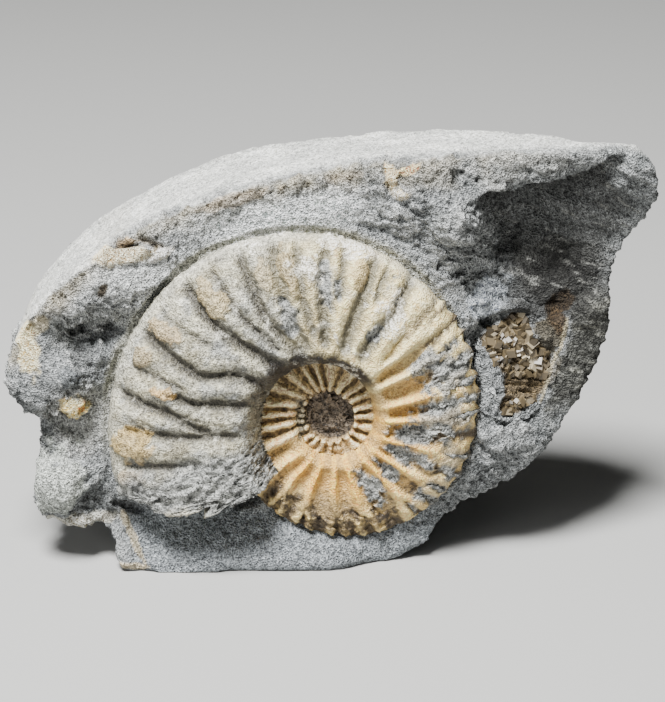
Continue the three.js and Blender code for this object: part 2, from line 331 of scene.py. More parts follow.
# Things grown into the stone or broken out of it, and stains: the middle of an oval, its half sizes
# and turn, how far it rises, its colour, and how well that covers.
MARKS = [
    ("shell sliver", -40.4, 65.0, 7.3, 1.7, 4, 0.6, "#d3c7a8", 0.9),
    ("chip on the sliver", -40.5, 67.2, 3.6, 0.7, 6, 0.4, "#8a7350", 0.8),
    ("crack between them", -41.0, 66.6, 4.4, 0.45, 3, -1.4, "#3f3323", 0.9),
    ("hollow beside the sliver", -34.6, 67.0, 3.4, 0.9, -22, -1.5, "#6a5c45", 0.6),
    ("white chip", -32.4, 65.0, 2.9, 1.1, 28, 0.7, "#e2dfd6", 0.9),
    ("leaf print", -44.4, 58.0, 1.7, 0.9, 55, -1.0, "#6b5c45", 0.8),
    ("cream stain", -59.5, 46.5, 2.2, 6.5, 12, 0, "#e4d6a8", 0.75),
    ("cream stain, top", -57.0, 51.0, 2.4, 2.0, 20, 0, "#c9bb98", 0.5),
    ("pebble", -51.0, 40.2, 2.2, 2.0, 0, 1.2, "#6c7072", 0.8),
    ("yellow calcite grain", -50.6, 33.8, 2.7, 2.4, 10, 1.7, "#f2dea4", 1.0),
    ("orange edge of the grain", -49.4, 34.4, 1.3, 0.9, 40, 0.3, "#e0ab55", 0.8),
    ("crack by the grain", -54.2, 31.2, 2.8, 0.9, 42, -2.2, "#3b3128", 0.8),
    ("grey-green knob", -54.8, 17.8, 5.6, 7.0, 0, 1.0, "#bcc0b8", 0.85),
    ("crusty lower edge", -51.4, 9.4, 8.0, 1.4, 3, 0.8, "#d3cfc0", 0.75),
    ("tan ridge", -39.4, 6.0, 5.6, 0.7, 119, 0.6, "#bcae8e", 0.7),
    ("tan lower edge", -39.5, 1.2, 3.5, 0.8, -6, 0.2, "#bfae8a", 0.7),
    ("brown weathered edge", -18.0, 75.0, 8.0, 1.3, 16, 0.3, "#a08f74", 0.5),
    ("brown weathered edge", 3.0, 79.4, 5.0, 0.9, 12, 0.2, "#8c7c64", 0.35),
    ("cream veinlet, top", 15.8, 81.6, 2.7, 0.9, 14, 0.5, "#d6bf94", 0.95),
    ("cream veinlet", 12.4, 80.2, 1.2, 2.6, 8, 0.7, "#e0cfa9", 1.0),
    ("cream veinlet, foot", 14.1, 76.8, 1.9, 1.2, -20, 0.8, "#e8e0cc", 1.0),
    ("blue-grey patch", 31.6, 53.6, 4.4, 3.4, 30, 0.8, "#bcc2c7", 0.85),
    ("brown stone by the crystals", 44.2, 45.6, 2.7, 3.6, -8, 0.0, "#4c4638", 0.9),
    ("brown stone by the seam", 45.6, 39.4, 1.1, 3.4, -18, 0.0, "#6a6353", 0.6),
    ("rust stain", 46.2, 51.7, 3.3, 1.9, 40, -0.8, "#2c2419", 1.0),
    ("rust stain, foot", 46.2, 48.8, 1.6, 2.4, 4, -0.2, "#403322", 0.9),
    ("cream seam by the crystals, top", 47.5, 46.3, 3.0, 0.4, 78, 0.3, "#b3a88b", 0.75),
    ("cream seam by the crystals", 46.1, 41.8, 2.3, 0.4, 65, 0.3, "#bcb193", 0.75),
    ("cream seam by the crystals, foot", 44.1, 36.3, 4.2, 0.4, 73, 0.3, "#b3a88b", 0.75),
    # Painted shadow: two dark hollows along the shell's mouth, where its overhang shades the stone.
    ("painted shadow in the hollow at the mouth", -40.8, 11.4, 3.8, 1.0, -16, -2.4, "#2c2a28", 0.4),
    ("painted shadow in the hollow under the mouth", -16.6, 12.4, 3.4, 1.2, 18, -2.4, "#2c2a28", 0.4),
]
# Painted shadow under the wing's lip: the stone below the lip line is darkened as the overhang would shade
# it.
below_lip = np.interp(x, *np.array(LIP[2:-1]).T) - y
shade = front * ramp(29, 34, x) * ramp(57, 51, x) * ramp(-0.2, 0.6, below_lip + 0.2 * ragged)
shade *= ramp(8, 2, below_lip + patchy)
# The hollow under the wing: partly its own darker stone, partly painted shade, darkest low down.
WING_DARK_AND_SHADE = [(30, 72), (31, 75.5), (36, 75.6), (41.6, 77.4), (46.6, 77.8), (50.5, 79), (53, 80), (60, 76),
             (60, 66), (54, 56), (46, 51.5), (38, 53), (35, 62)]
# Paler patches over the front: partly the stone's own paler tone, partly painted light that lifts the shade
# under the brow and in the crag's hollows.
PALE_AND_PAINTED_LIGHT = [  # share, how near the middle it is full, an oval, and the colour
    (0.7, 0.5, (-8, 71.5, 26, 5, 8), "#cbcecd"),
    (0.55, 0.5, (27, 66, 8, 11, 0), "#b0b2b0"),
    (0.8, 0.5, (-38, 60, 13, 8, 30), "#c0c2c0"),
    (0.6, 0.6, (-47, 51, 9, 5, 20), "#b0b2af"),
    (0.6, 0.6, (-50, 31, 7, 8, 0), "#b4b4ae"),
]
beds = cloudy(np.stack([x * 0.22, y + 0.32 * x, z * 0.3], axis=1), 1.1, 3, 25)
# The right side past the seam turns away from the light: it is painted dark grey as painted shade, with
# darker and paler bands along its beds.
beyond_seam = x - np.interp(y, [25, 32.6, 40, 43.6, 49], [42, 43.6, 45.8, 47.4, 48.6])
shaded_right_side = (1 - worn) * ramp(-0.3, 1.2, beyond_seam + ragged) * ramp(27, 35, y + 2 * patchy)
shaded_right_side *= ramp(60, 52, y)
in_wing_dark_and_shade = ramp(-3, 4, within(at, WING_DARK_AND_SHADE) + 1.5 * patchy)
tint = layered(len(at), [
    (0.94 * shaded_right_side, "#484843"),
    (0.8 * shaded_right_side * ramp(-0.1, -0.5, beds), "#2c2c28"),
    (0.4 * shaded_right_side * ramp(0.2, 0.6, beds), "#a3a296"),
    (front * (0.6 + 0.35 * ramp(68, 60, y)) * in_wing_dark_and_shade, "#464643"),
    # A near-black painted shadow low in the wing's hollow, then the painted shadow under the lip.
    (front * 0.95 * ramp(1.2, 0.5, spot(at, 46, 55, 12, 7, 10) + 0.3 * patchy), "#282826"),
    (0.7 * shade, "#30302e"),
    (0.6 * wing * front * ramp(0.3, 0.6, beds) * ramp(50, 56, y), "#8f8f8a"),
])
for share, full, place, colour in PALE_AND_PAINTED_LIGHT:
    tint = over(tint, front * share * ramp(1.2, full, spot(at, *place) + 0.3 * patchy), colour)
for name, *place, rise, colour, cover in MARKS:
    away = spot(at, *place)
    lift += front * rise * np.clip(1 - away**2, 0, 1) ** 0.7
    tint = over(tint, front * cover * ramp(1.15, 0.8, away + 0.5 * ragged), colour)

# The crystals' bed is stained brown, and banded where it is bare below.
BAND_MM = 1.5
in_bed = within(at, BED) + 0.5 * ragged
bands = np.sin(2 * math.pi * (y + 0.12 * x + 0.5 * patchy) / BAND_MM)
lift -= front * ramp(-0.3, 1.2, in_bed) * (1.0 + 0.35 * bands)
tint = over(tint, front * 0.95 * ramp(-0.2, 0.5, in_bed), "#5e5039")
tint = over(tint, front * 0.4 * ramp(0.2, 1, in_bed) * ramp(0.2, 0.9, bands), "#8c7a58")

lift *= 0.15 + 0.85 * ramp(0, 2.5, y)  # the foot stays flat
at = at + facing * lift[:, None]
at[:, 1] = np.maximum(at[:, 1], 0)
set_vertices(nodule.data, from_face_view(at))
weathered = front * (1 - worn) * ramp(7, 1, below_brow + 3 * patchy) * ramp(60, 10, x)
rim = front * ramp(2.2, 0.8, to_shell + 0.3 * ragged) * ramp(20, 30, y) * ramp(32, 10, x)
relief = np.clip(0.5 + 0.45 * rough, 0, 1)
keep(nodule.data, worn=worn, ledge=ledge, weathered=weathered, rim=rim, relief=relief, tint=tint)
nodule.data.shade_smooth()


def add(tree, kind, inputs=None, out=0, drawn=(), **settings):
    """Adds a node with its settings, sets or links its inputs, and gives one output."""
    node = tree.nodes.new(kind)
    for name, value in settings.items():
        setattr(node, name, value)
    for name, value in (inputs or {}).items():
        if isinstance(value, bpy.types.NodeSocket):
            tree.links.new(value, node.inputs[name])
        else:
            node.inputs[name].default_value = value
    if drawn:
        line = node.mapping.curves[0].points
        line[0].location, line[1].location = drawn[0], drawn[-1]
        for point in drawn[1:-1]:
            line.new(*point)
        node.mapping.update()
    return node.outputs[out]


def empty_tree(material):
    """The material's own tree, with only its output in it, and where the surface goes."""
    material.use_nodes = True
    tree = material.node_tree
    tree.nodes.clear()
    return tree, tree.nodes.new("ShaderNodeOutputMaterial").inputs["Surface"]


ATTRIBUTE, MIX, MATH = "ShaderNodeAttribute", "ShaderNodeMix", "ShaderNodeMath"
NOISE, RANGE, BUMP = "ShaderNodeTexNoise", "ShaderNodeMapRange", "ShaderNodeBump"
SURFACE = "ShaderNodeBsdfPrincipled"
TIMES, MINUS = {"operation": "MULTIPLY"}, {"operation": "SUBTRACT"}
BASE, LAID = 6, 7  # the places of a mix node's two colours
BLENDED = {"out": 2, "data_type": "RGBA"}  # so that it mixes colours


def grain_of(tree, cloud_scale, crumb_scale, grit_share):
    """Where a point is, soft clouds there, and a fine speckle of crumbs and grit."""
    place = add(tree, "ShaderNodeTexCoord", out="Object")
    cloud = add(tree, NOISE, {"Vector": place, "Scale": cloud_scale, "Detail": 5, "Roughness": 0.6})
    cloud = add(tree, RANGE, {"Value": cloud, "From Min": 0.3, "From Max": 0.7})
    crumb = add(tree, NOISE, {"Vector": place, "Scale": crumb_scale, "Detail": 2, "Roughness": 0.6})
    grit = add(tree, NOISE, {"Vector": place, "Scale": 2900, "Detail": 1})  # 0.35 mm
    speck = add(tree, MIX, {"Factor": grit_share, "A": crumb, "B": grit}, data_type="FLOAT")
    return place, cloud, add(tree, RANGE, {"Value": speck, "From Min": 0.36, "From Max": 0.64})


# Limestone: matt and grainy. Broken, it is mid grey with pale crumbs; its crests are paler, with dust and
# painted highlight, and its crannies darker with painted shade. Worn by the sea, it is pale and smooth, with
# faint streaks along the bedding.
limestone = bpy.data.materials.new("Limestone, broken and sea-worn")
tree, shown = empty_tree(limestone)
place, cloud, speck = grain_of(tree, 170, 1200, 0.55)  # clouds of 6 mm, crumbs of 0.8 mm
worn_here, relief, stain, shelf, edging = (
    add(tree, ATTRIBUTE, out="Fac", attribute_name=name)
    for name in ("worn", "relief", "weathered", "ledge", "rim")
)
colour = add(tree, MIX, {"Factor": cloud, BASE: rgb("#717474"), LAID: rgb("#9b9e9e")}, **BLENDED)
# Painted shade darkens the low places of the broken face; painted highlight, with dust, pales its high
# places.
hollow = add(tree, RANGE, {"Value": relief, "From Max": 0.5, "To Min": 0.5, "To Max": 0.0})
proud_dust_and_light = add(tree, RANGE, {"Value": relief, "From Min": 0.5, "To Max": 0.5})
stain = add(tree, MATH, {0: stain, 1: cloud}, **TIMES)
along = add(tree, "ShaderNodeMapping",
            {"Vector": place, "Rotation": (0.2, 0.12, 0.1), "Scale": (110, 260, 300)})
streak = add(tree, NOISE, {"Vector": along, "Scale": 1, "Detail": 4})
streak = add(tree, RANGE, {"Value": streak, "From Min": 0.3, "From Max": 0.7})
cortex = add(tree, MIX, {"Factor": streak, BASE: rgb("#989995"), LAID: rgb("#d6d6d0")}, **BLENDED)
cortex = add(tree, MIX, {"Factor": cloud, BASE: rgb("#a2a39f"), LAID: cortex}, **BLENDED)
marks = add(tree, ATTRIBUTE, attribute_name="tint")
covered = marks.node.outputs["Alpha"]
for share, laid in ((hollow, rgb("#3f3f3d")), (proud_dust_and_light, rgb("#cfd0cd")), (stain, rgb("#a0977f")),
                    (shelf, rgb("#8b9093")), (worn_here, cortex), (edging, rgb("#b9b9ae")), (covered, marks)):
    colour = add(tree, MIX, {"Factor": share, BASE: colour, LAID: laid}, **BLENDED)
salt = add(tree, MIX, {"Factor": speck, BASE: rgb("#303030"), LAID: rgb("#ffffff")}, **BLENDED)
peppered = add(tree, RANGE, {"Value": worn_here, "To Min": 0.8, "To Max": 0.7})
colour = add(tree, MIX, {"Factor": peppered, BASE: colour, LAID: salt}, blend_type="OVERLAY", **BLENDED)
pits = add(tree, RANGE, {"Value": worn_here, "To Min": 1.0, "To Max": 0.4})
bumps = add(tree, BUMP, {"Height": speck, "Strength": pits, "Distance": 0.0008})
surface = add(tree, SURFACE,
              {"Base Color": colour, "Roughness": 0.88, "Specular IOR Level": 0.3, "Normal": bumps})
tree.links.new(surface, shown)
nodule.data.materials.clear()
nodule.data.materials.append(limestone)
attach(nodule, "root")
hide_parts("matrix")

# Ammonite: the coiled shell, turned to calcite, lying in the stone with one flank bare. It grows
# by a rule, so a tree makes it: each turn is a fixed multiple of the one before, with a steep
# umbilical wall and a flat flank. Main ribs rise at the wall and split in two half way out.
MOUTH, FULL_TURN = 228, 360  # degrees: where the last turn ends, a full turn after it starts
START = MOUTH - FULL_TURN
COIL = {
    "Left radius": 0.0451,  # metres, level with the centre
    "Expansion": 2.21,  # in one turn
    "Seam": 0.30,  # shares of the whorl's outer radius
    "Half breadth": 0.215,
    "Back depth": 0.13,
    "Rib height": 0.08,
    "Mouth outside": math.radians(200),
    "Mouth inside": math.radians(MOUTH),
}
STRETCH, STRETCH_ANGLE = 0.03, math.radians(115)  # the coil was drawn out a little in the rock
FLANK = 0.88 * math.pi  # angles on the ball: the bare flank, and the part of it inside the seam
CENTRE = 0.33 * FLANK
MAIN_RIBS = [-126, -112, -98, -82, -68, -47, -33, -16, 3, 18, 39, 55, 71, 86, 98, 109, 123, 139, 157, 172,
             187, 206]
SWAY = [(START, -9), (-100, -5), (-68, -2), (-30, 0), (0, 0), (30, -4), (50, -9), (75, -4), (98, 4),
        (134, 6), (152, 8), (180, 4), (205, 0), (MOUTH, -9)]  # degrees a rib swings forward by mid-flank
MOST_SWAY = 15
SECTION = [(0, 0.18), (0.03, 0.42), (0.07, 0.7), (0.11, 0.89), (0.16, 0.98), (0.24, 1), (0.5, 0.97),
           (0.7, 0.86), (0.85, 0.66), (0.94, 0.44), (0.98, 0.25), (1, 0)]
RIB_STRENGTH = [(0, 0), (0.1, 0.1), (0.2, 0.75), (0.32, 1), (0.6, 0.85), (0.88, 0.9), (0.96, 0.8), (1, 0.6)]
CURVE = "ShaderNodeFloatCurve"


def new_tree(title, inputs):
    """A tree that gives geometry, and what its inputs, of those kinds and names, hand it."""
    tree = bpy.data.node_groups.new(title, "GeometryNodeTree")
    tree.interface.new_socket("Geometry", in_out="OUTPUT", socket_type="NodeSocketGeometry")
    for kind, names in inputs.items():
        for name in names:
            tree.interface.new_socket(name, in_out="INPUT", socket_type="NodeSocket" + kind)
    return tree, tree.nodes.new("NodeGroupInput").outputs


coil, given = new_tree("ammonite coil", {"Int": ("Columns", "Rings"), "Float": COIL})

# Where each point of a ball goes: its longitude is the turn, its latitude the way out and back.
ball = add(coil, "GeometryNodeMeshUVSphere",
           {"Segments": given["Columns"], "Rings": given["Rings"], "Radius": 1.0})
spot_on = add(coil, "ShaderNodeSeparateXYZ", {0: add(coil, "GeometryNodeInputPosition")}).node.outputs
latitude = add(coil, MATH, {0: spot_on["Z"]}, operation="ARCCOSINE")
longitude = add(coil, MATH, {0: spot_on["Y"], 1: spot_on["X"]}, operation="ARCTAN2")
a_turn_back = add(coil, MATH, {0: given["Mouth inside"], 1: 2 * math.pi}, **MINUS)
turn = add(coil, MATH, {0: longitude, 1: given["Mouth inside"], 2: a_turn_back}, operation="WRAP")
turns = add(coil, MATH, {0: turn, 1: 1 / (2 * math.pi), 2: -0.5}, operation="MULTIPLY_ADD")
growth = add(coil, MATH, {0: given["Expansion"], 1: turns}, operation="POWER")
whole = add(coil, MATH, {0: given["Left radius"], 1: growth}, **TIMES)
one_turn_in = add(coil, MATH, {0: whole, 1: given["Expansion"]}, operation="DIVIDE")
past = add(coil, RANGE,
           {"Value": turn, "From Min": given["Mouth outside"], "From Max": given["Mouth inside"]})
still = add(coil, MATH, {0: 1.0, 1: past}, **MINUS)
between = add(coil, MATH, {0: past, 1: still}, **TIMES)
wander = add(coil, NOISE, {"W": turn, "Scale": 12.0, "Detail": 3.0}, noise_dimensions="1D")
wander = add(coil, RANGE, {"Value": wander, "To Min": -0.8, "To Max": 0.8})
ragged_past = add(coil, MATH, {0: wander, 1: between, 2: past}, operation="MULTIPLY_ADD")
seam = add(coil, MATH, {0: given["Seam"], 1: whole}, **TIMES)
edge = add(coil, RANGE, {"Value": ragged_past, "To Min": whole, "To Max": seam})
rim = add(coil, MATH, {0: edge, 1: one_turn_in}, operation="MAXIMUM")
seam_in = add(coil, MATH, {0: seam, 1: given["Expansion"]}, operation="DIVIDE")
row = add(coil, RANGE, {"Value": turn, "From Min": 2.6, "From Max": given["Mouth inside"], "To Min": seam,
                        "To Max": seam_in}, interpolation_type="SMOOTHSTEP")
inside = add(coil, RANGE, {"Value": latitude, "From Max": CENTRE})
outside = add(coil, RANGE, {"Value": latitude, "From Min": CENTRE, "From Max": FLANK})
behind = add(coil, RANGE, {"Value": latitude, "From Min": FLANK, "From Max": math.pi})
out_to = add(coil, RANGE, {"Value": outside, "To Min": row, "To Max": rim})
front_radius = add(coil, MATH, {0: out_to, 1: inside}, **TIMES)
closing = add(coil, MATH, {0: 1.0, 1: behind}, **MINUS)
radius = add(coil, MATH, {0: front_radius, 1: closing}, **TIMES)

# Which whorl that is, and how far across its flank.
just_past = [add(coil, MATH, {0: line, 1: 1.001}, **TIMES) for line in (seam, edge)]
past_seam, past_edge = (
    add(coil, MATH, {0: front_radius, 1: line}, operation="GREATER_THAN") for line in just_past
)
last_whorl = add(coil, MATH, {0: past_seam, 1: past_edge}, **MINUS)
one_in = add(coil, MATH, {0: 1.0, 1: last_whorl}, **MINUS)
share_out = add(coil, MATH, {0: front_radius, 1: one_turn_in}, operation="DIVIDE")
two_in = add(coil, MATH, {0: share_out, 1: given["Seam"]}, operation="LESS_THAN")
whorls_in = add(coil, MATH, {0: one_in, 1: two_in}, operation="ADD")
shrink = add(coil, MATH, {0: given["Expansion"], 1: whorls_in}, operation="POWER")
own_radius = add(coil, MATH, {0: whole, 1: shrink}, operation="DIVIDE")
share = add(coil, MATH, {0: front_radius, 1: own_radius}, operation="DIVIDE")
across = add(coil, RANGE, {"Value": share, "From Min": given["Seam"]})
section = add(coil, CURVE, {"Value": across}, drawn=SECTION)

# Ribs: a wave along the turn, which doubles half way out; narrow early on, broad near the mouth.
round_share = add(coil, RANGE, {"Value": turn, "From Min": a_turn_back, "From Max": given["Mouth inside"]})
swayed = [((swung - START) / FULL_TURN, 0.5 + lean / (2 * MOST_SWAY)) for swung, lean in SWAY]
sway = add(coil, CURVE, {"Value": round_share}, drawn=swayed)
sway = add(coil, RANGE, {"Value": sway, "To Min": -MOST_SWAY / FULL_TURN, "To Max": MOST_SWAY / FULL_TURN})
swing = add(coil, RANGE, {"Value": across, "From Max": 0.5}, interpolation_type="SMOOTHSTEP")
sway = add(coil, MATH, {0: sway, 1: swing}, **TIMES)
rib_share = add(coil, MATH, {0: round_share, 1: sway}, **MINUS)
last = len(MAIN_RIBS)
around = [MAIN_RIBS[-1] - FULL_TURN] + MAIN_RIBS + [MAIN_RIBS[0] + FULL_TURN]
ends = [np.interp(edge_turn, around, range(last + 2)) for edge_turn in (START, MOUTH)]
counted = [(0, ends[0] / (last + 1))]
counted += [((rib - START) / FULL_TURN, (number + 1) / (last + 1)) for number, rib in enumerate(MAIN_RIBS)]
counted += [(1, ends[1] / (last + 1))]
number = add(coil, CURVE, {"Value": rib_share}, drawn=counted)
wave = add(coil, MATH, {0: number, 1: 2 * math.pi * (last + 1)}, **TIMES)
steep_side = add(coil, MATH, {0: wave}, operation="SINE")
wave = add(coil, MATH, {0: steep_side, 1: 0.35, 2: wave}, operation="MULTIPLY_ADD")
main_wave = add(coil, MATH, {0: wave}, operation="COSINE")
main_wave = add(coil, RANGE, {"Value": main_wave, "From Min": -1.0})
age = add(coil, MATH, {0: turns, 1: whorls_in}, **MINUS)
narrow = add(coil, RANGE, {"Value": age, "From Min": -1.0, "From Max": -0.8, "To Min": 0.5, "To Max": 1.4})
main_crest = add(coil, MATH, {0: main_wave, 1: narrow}, operation="POWER")
split_wave = add(coil, MATH, {0: wave, 1: 2.0}, **TIMES)
split_wave = add(coil, MATH, {0: split_wave}, operation="COSINE")
split_wave = add(coil, RANGE, {"Value": split_wave, "From Min": 1.0, "From Max": -1.0})
split_crest = add(coil, MATH, {0: split_wave, 1: 0.6}, operation="POWER")
splitting = add(coil, RANGE, {"Value": across, "From Min": 0.63, "From Max": 0.88},
                interpolation_type="SMOOTHSTEP")
crest = add(coil, MIX, {"Factor": splitting, "A": main_crest, "B": split_crest}, data_type="FLOAT")
strength = add(coil, CURVE, {"Value": across}, drawn=RIB_STRENGTH)
fading = add(coil, RANGE, {"Value": age, "From Min": -0.385, "From Max": -0.36, "To Min": 1.0, "To Max": 0.0})
strength = add(coil, MATH, {0: strength, 1: fading}, **TIMES)
furrow = add(coil, MATH, {0: crest, 1: 1.0}, **MINUS)
for factor in (strength, given["Rib height"]):
    furrow = add(coil, MATH, {0: furrow, 1: factor}, **TIMES)
thickness = add(coil, MATH, {0: section, 1: given["Half breadth"], 2: furrow}, operation="MULTIPLY_ADD")
sunk = add(coil, RANGE, {"Value": age, "From Min": -1.0, "From Max": -0.4, "To Min": 0.55})
break_off = add(coil, RANGE, {"Value": outside, "From Min": 0.985, "To Min": 1.0, "To Max": 0.0})
height = thickness
for factor in (own_radius, sunk, break_off):
    height = add(coil, MATH, {0: height, 1: factor}, **TIMES)
dome = add(coil, MATH, {0: closing, 1: closing}, **TIMES)
dome = add(coil, MATH, {0: 1.0, 1: dome}, **MINUS)
dome = add(coil, MATH, {0: dome}, operation="SQRT")
depth = add(coil, MATH, {0: given["Back depth"], 1: rim}, **TIMES)
sag = add(coil, MATH, {0: dome, 1: depth}, **TIMES)
height = add(coil, MATH, {0: height, 1: sag}, **MINUS)
point = add(coil, "ShaderNodeCombineXYZ", {"X": radius, "Z": height})
point = add(coil, "ShaderNodeVectorRotate", {"Vector": point, "Angle": turn}, rotation_type="Z_AXIS")
shape = ball
for name, value in {"crest": crest, "across": across, "age": age, "behind": behind}.items():
    shape = add(coil, "GeometryNodeStoreNamedAttribute", {"Geometry": shape, "Name": name, "Value": value},
                data_type="FLOAT", domain="POINT")
shape = add(coil, "GeometryNodeSetPosition", {"Geometry": shape, "Position": point})
shell_calcite = bpy.data.materials.new("Calcite after the living coil")


def close_tree(tree, shape, material):
    shape = add(tree, "GeometryNodeRealizeInstances", {"Geometry": shape})
    shape = add(tree, "GeometryNodeSetMaterial", {"Geometry": shape, "Material": material})
    tree.links.new(shape, tree.nodes.new("NodeGroupOutput").inputs["Geometry"])


def grown(obj, tree, settings):
    """The object's mesh as the tree makes it with those settings."""
    growing = obj.modifiers.new(tree.name, "NODES")
    growing.node_group = tree
    for item in tree.interface.items_tree:
        if item.in_out == "INPUT" and item.name in settings:
            growing[item.identifier] = settings[item.name]
    mesh = evaluated(obj)
    obj.modifiers.clear()
    return mesh


def kept(mesh, name):
    values = np.empty(len(mesh.vertices), dtype=np.float32)
    mesh.attributes[name].data.foreach_get("value", values)
    return values.astype(float)


close_tree(coil, shape, shell_calcite)
ammonite = put_in_scene("ammonite_coil", bpy.data.meshes.new("coil"))
ammonite.data = grown(ammonite, coil, {"Columns": 640, "Rings": 138, **COIL})

# Wear: where shell has flaked off, the stone filling shows, rough and grey, mostly between the
# ribs. Here and there a darker outer layer is left standing. Places are in degrees of the turn
# and shares of the way across the flank.
at = vertices_of(ammonite.data) * 1000
facing = normals_of(ammonite.data)
degrees = 180 + FULL_TURN * kept(ammonite.data, "age")
flank = kept(ammonite.data, "across")
crest = kept(ammonite.data, "crest")
ragged = cloudy(at, 2.0, 3, 11)
patchy = cloudy(at, 7, 3, 12)
inner = ramp(-118, -165, degrees)
from_middle = np.hypot(at[:, 0] - 0.3, at[:, 1] - 0.3) + 0.25 * ragged
core = ramp(5.2, 4.7, from_middle)

# Past the top of the coil its ribs no longer keep a rule, so each furrow runs as it was found:
# its depth in millimetres, then shares of the way across the flank with degrees of the turn.
FURROWS = [
    (1.3, [(0.3, 50), (0.45, 50), (0.63, 50.5), (0.85, 49.5), (1, 48.5)]),
    (1.8, [(0.18, 65), (0.3, 64.5), (0.42, 63.5), (0.55, 61.5), (0.7, 59.5), (0.85, 60.5), (1, 60)]),
    (1.2, [(0.65, 70), (0.8, 70), (0.97, 69)]),
    (1.9, [(0.16, 79), (0.3, 78), (0.45, 77), (0.6, 76), (0.75, 75), (0.97, 74)]),
    (1.3, [(0.58, 84), (0.75, 85), (0.97, 84)]),
    (1.8, [(0.18, 91.5), (0.35, 92), (0.5, 92.5), (0.7, 92), (0.95, 90.5)]),
    (1.4, [(0.24, 97.5), (0.4, 99.5), (0.55, 100), (0.75, 100.2), (0.97, 99)]),
    (1.9, [(0.16, 104), (0.35, 107.5), (0.48, 109), (0.6, 107.8), (0.8, 107.2), (0.97, 106.5)]),
    (2.0, [(0.12, 110), (0.2, 111), (0.33, 115), (0.4, 117), (0.5, 118), (0.7, 117.2), (0.97, 116.5)]),
    (1.3, [(0.2, 120), (0.3, 122), (0.5, 125.5), (0.63, 126.6), (0.95, 126)]),
    (2.1, [(0.1, 127.5), (0.18, 129), (0.3, 131.8), (0.42, 134.5), (0.55, 136), (0.75, 135.8),
           (0.97, 134.5)]),
    (1.0, [(0.5, 143), (0.6, 144), (0.75, 145.2), (0.95, 145)]),
    (2.0, [(0.1, 146), (0.18, 146.5), (0.28, 148), (0.36, 151.7), (0.43, 155.6), (0.5, 156.4), (0.6, 155.6),
           (0.75, 154), (0.97, 152.5)]),
    (1.2, [(0.52, 164.5), (0.62, 163.8), (0.75, 163), (0.97, 162.4)]),
    (2.0, [(0.1, 163.5), (0.18, 164.6), (0.28, 166), (0.38, 168), (0.48, 169), (0.55, 168.2), (0.62, 167.5)]),
    (1.9, [(0.3, 182), (0.36, 181), (0.43, 178.6), (0.52, 175.8), (0.63, 173.8), (0.75, 172.8), (0.98, 171)]),
    (1.7, [(0.12, 184.5), (0.28, 183), (0.4, 183.6), (0.55, 183), (0.7, 182), (0.9, 181.2)]),
    (1.6, [(0.4, 195.5), (0.55, 194.5), (0.7, 193), (0.92, 191.5)]),
]
reach = np.hypot(at[:, 0], at[:, 1])
cut = np.zeros(len(at))
for depth, line in FURROWS:
    shares, turned_to = np.array(line).T
    off = np.radians(degrees - np.interp(flank, shares, turned_to)) * reach + 0.35 * ragged
    ends = ramp(shares[0] - 0.07, shares[0] + 0.07, flank) * ramp(shares[-1] + 0.04, shares[-1] - 0.06, flank)
    groove = 0.6 * np.exp(-((off / 2.1) ** 2)) + 0.4 * np.exp(-((off / 0.7) ** 2))
    cut = np.maximum(cut, depth * ends * groove)
past_rule = ramp(44, 50, degrees)
cut *= past_rule
crest = crest * (1 - past_rule) + past_rule * np.clip(1 - cut / 1.4, 0, 1)
polar = np.stack([degrees, flank * 100], axis=1)
BARE = [  # degrees, hundredths across, half sizes, and how far the crests went too
    (-58, 43, 8, 20, 0.2), (-40, 36, 4.8, 17, 0.2), (-23.5, 40, 6.5, 27, 0.3), (-8, 43, 8, 27, 0.3),
    (4, 66, 11, 30, 0.8), (23, 77, 11, 20, 0.9), (33, 67, 3.5, 27, 0.9), (-36, 86, 10, 12, 0.3),
    (-18, 84, 8, 14, 0.5), (64.5, 80, 3, 10, 0.3), (64, 46, 3.5, 8, 0.2),
    (90, 66, 4, 16, 0.2), (109, 42, 4, 14, 0.1)]
bare = np.zeros(len(at))
for *place, crests_too in BARE:
    gone = ramp(1.25, 0.8, spot(polar, *place, 0) + 0.75 * ragged + 0.25 * patchy)
    bare = np.maximum(bare, gone * (1 - (1 - crests_too) * ramp(0.45, 0.85, crest + 0.4 * patchy)))
bare = np.maximum(bare, ramp(190, 199, degrees + 5 * patchy)) * (1 - inner)
LEFT_ON = [  # bits of the outer layer: places as above, and colours
    ("flake", 78, 81, 3.2, 10, "#b5a072"),
    ("flake", 103.5, 75, 2.8, 17, "#94845f"),
    ("flake", 112, 77, 2.6, 11, "#9a8c6c"),
    ("fibrous flake", 130.5, 76, 3.8, 14, "#a5946c"),
    ("flake", 149, 81, 2.8, 14, "#9c8862"),
    ("flake", 159, 87, 3.2, 7, "#958462"),
    ("golden flake", 167.5, 65, 2.0, 8, "#b18d50"),
    ("golden patch by the mouth", 185.5, 82, 5.4, 13, "#a58b52"),
    ("tan patch under it", 196, 86, 2.6, 9, "#9c8662"),
]
late = ramp(104, 120, degrees)
over_top = ramp(46, 58, degrees) * (1 - late)
early = ramp(58, 46, degrees) * (1 - inner)
dirty = cloudy(at, 4.5, 3, 31)
uneven = cloudy(at, 1.6, 2, 26)
low_rim = early * ramp(-48, -62, degrees) * ramp(0.55, 0.8, flank + 0.25 * ragged)
# The umbilical wall is darkened with dirt and painted shade, near black over the top where it faces down.
wall_dirt_and_shade = ramp(0.19, 0.1, flank + 0.04 * ragged) * (1 - inner)
scaly = ramp(50, 110, degrees) * ramp(0.05, 0.4, cloudy(at, 5, 3, 24))
# Dirt and painted shade between the rib ends near the early part's outer edge.
outer_dirt_and_shade = ramp(0.85, 0.35, crest + 0.3 * ragged) * ramp(0.55, 0.8, flank + 0.3 * ragged)
